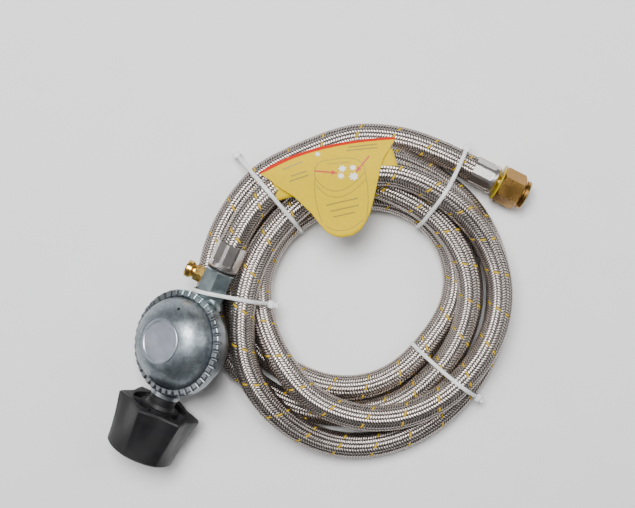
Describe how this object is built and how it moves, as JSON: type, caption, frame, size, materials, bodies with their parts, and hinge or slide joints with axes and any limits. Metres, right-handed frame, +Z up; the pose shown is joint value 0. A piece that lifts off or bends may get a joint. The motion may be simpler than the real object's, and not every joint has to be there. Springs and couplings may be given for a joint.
{
  "type": "propane regulator hose",
  "caption": "Low-pressure propane regulator with a lobed handwheel inlet and a coiled, tied, steel-braided hose that ends in a loose hexagonal flare nut.",
  "frame": {"origin": "on the floor under the middle of the regulator and handwheel, hose and what hangs on it left out", "axes": "+Z up off the floor the coil lies on, +Y along the regulator's length from the handwheel towards the hose end, +X towards the hose coil"},
  "size_m": [0.2516, 0.2031, 0.0593],
  "materials": {
    "cast_zinc": "die-cast zinc, slightly mottled satin grey",
    "dome_zinc": "pressed zinc-plated steel, satin grey with brighter edges",
    "bright_steel": "bright crimped stainless steel",
    "spring_steel": "oiled spring wire",
    "inner_steel": "bright zinc-plated steel",
    "braided_hose": "stainless wire braid over a dark rubber hose, one yellow tracer",
    "hose_rubber": "black gas-hose rubber",
    "seal_rubber": "black nitrile, satin",
    "diaphragm_rubber": "black fabric-backed rubber, matt",
    "wheel_plastic": "black glass-filled nylon, satin",
    "adjuster_plastic": "natural acetal, satin",
    "nut_brass": "dull brown-bronze brass",
    "test_brass": "machined yellow brass",
    "ring_yellow": "yellow plastic",
    "tie_nylon": "milky white nylon",
    "tag_card": "coated card, yellow with a red band"
  },
  "bodies": {
    "housing": {"regulator_body": "cast_zinc", "bonnet": "dome_zinc", "bonnet_cap": "dome_zinc", "spring_adjuster": "adjuster_plastic", "main_spring": "spring_steel", "diaphragm": "diaphragm_rubber", "lever_pin": "inner_steel", "valve_guide": "cast_zinc", "orifice": "test_brass", "inlet_nipple": "test_brass", "nose_seal": "seal_rubber", "thrust_washer": "inner_steel", "test_point_body": "test_brass", "outlet_seal": "seal_rubber", "hose_tail_regulator": "test_brass", "ferrule_regulator": "bright_steel", "hose_end_regulator": "hose_rubber", "hose_lead_in": "braided_hose", "hose_coil": "braided_hose", "hose_lead_out": "braided_hose", "hose_end_outlet": "hose_rubber", "ferrule_outlet": "bright_steel", "hose_tail_outlet": "test_brass", "colour_ring": "ring_yellow", "tag": "tag_card", "cable_tie_upper_left": "tie_nylon", "cable_tie_upper_right": "tie_nylon", "cable_tie_lower_right": "tie_nylon", "cable_tie_regulator": "tie_nylon"},
    "handwheel": {"handwheel": "wheel_plastic"},
    "flare_nut": {"flare_nut": "nut_brass"},
    "diaphragm_stack": {"diaphragm_plate": "inner_steel", "diaphragm_post": "test_brass", "plate_nut": "inner_steel"},
    "lever": {"lever": "inner_steel"},
    "valve": {"seat_holder": "test_brass", "seat_disc": "seal_rubber"},
    "test_screw": {"test_point_screw": "test_brass"}
  },
  "joints": [
    {"name": "handwheel_spin", "type": "hinge", "parent": "housing", "child": "handwheel", "pos_m": [-0.01276, -0.03759, 0.02224], "axis": [-0.4176, -0.8997, -0.1271], "continuous": true},
    {"name": "flare_nut_spin", "type": "hinge", "parent": "housing", "child": "flare_nut", "pos_m": [0.2024, 0.10259, 0.0124], "axis": [0.891, -0.454, 0], "continuous": true},
    {"name": "test_screw_turn", "type": "hinge", "parent": "housing", "child": "test_screw", "pos_m": [0.01988, 0.05171, 0.03423], "axis": [-0.906, 0.423, -0.0173], "range_deg": [0, 720]},
    {"name": "diaphragm_slide", "type": "slide", "parent": "housing", "child": "diaphragm_stack", "axis": [-0.513, 0.1181, 0.8502], "range_m": [0, 0.00275], "stiffness_N_per_m": 400, "springref_m": -0.005, "deforming": ["main_spring", "diaphragm"]},
    {"name": "lever_hinge", "type": "hinge", "parent": "housing", "child": "lever", "pos_m": [0.00724, -0.00137, 0.02268], "axis": [0.7499, -0.4203, 0.5109], "range_deg": [0, 11.5]},
    {"name": "valve_slide", "type": "slide", "parent": "housing", "child": "valve", "axis": [-0.4176, -0.8997, -0.1271], "range_m": [0, 0.00099]}
  ],
  "couplings": [
    {"joint": "lever_hinge", "follows": "diaphragm_slide", "rad_per_m": 71.43},
    {"joint": "valve_slide", "follows": "diaphragm_slide", "ratio": 0.358}
  ]
}
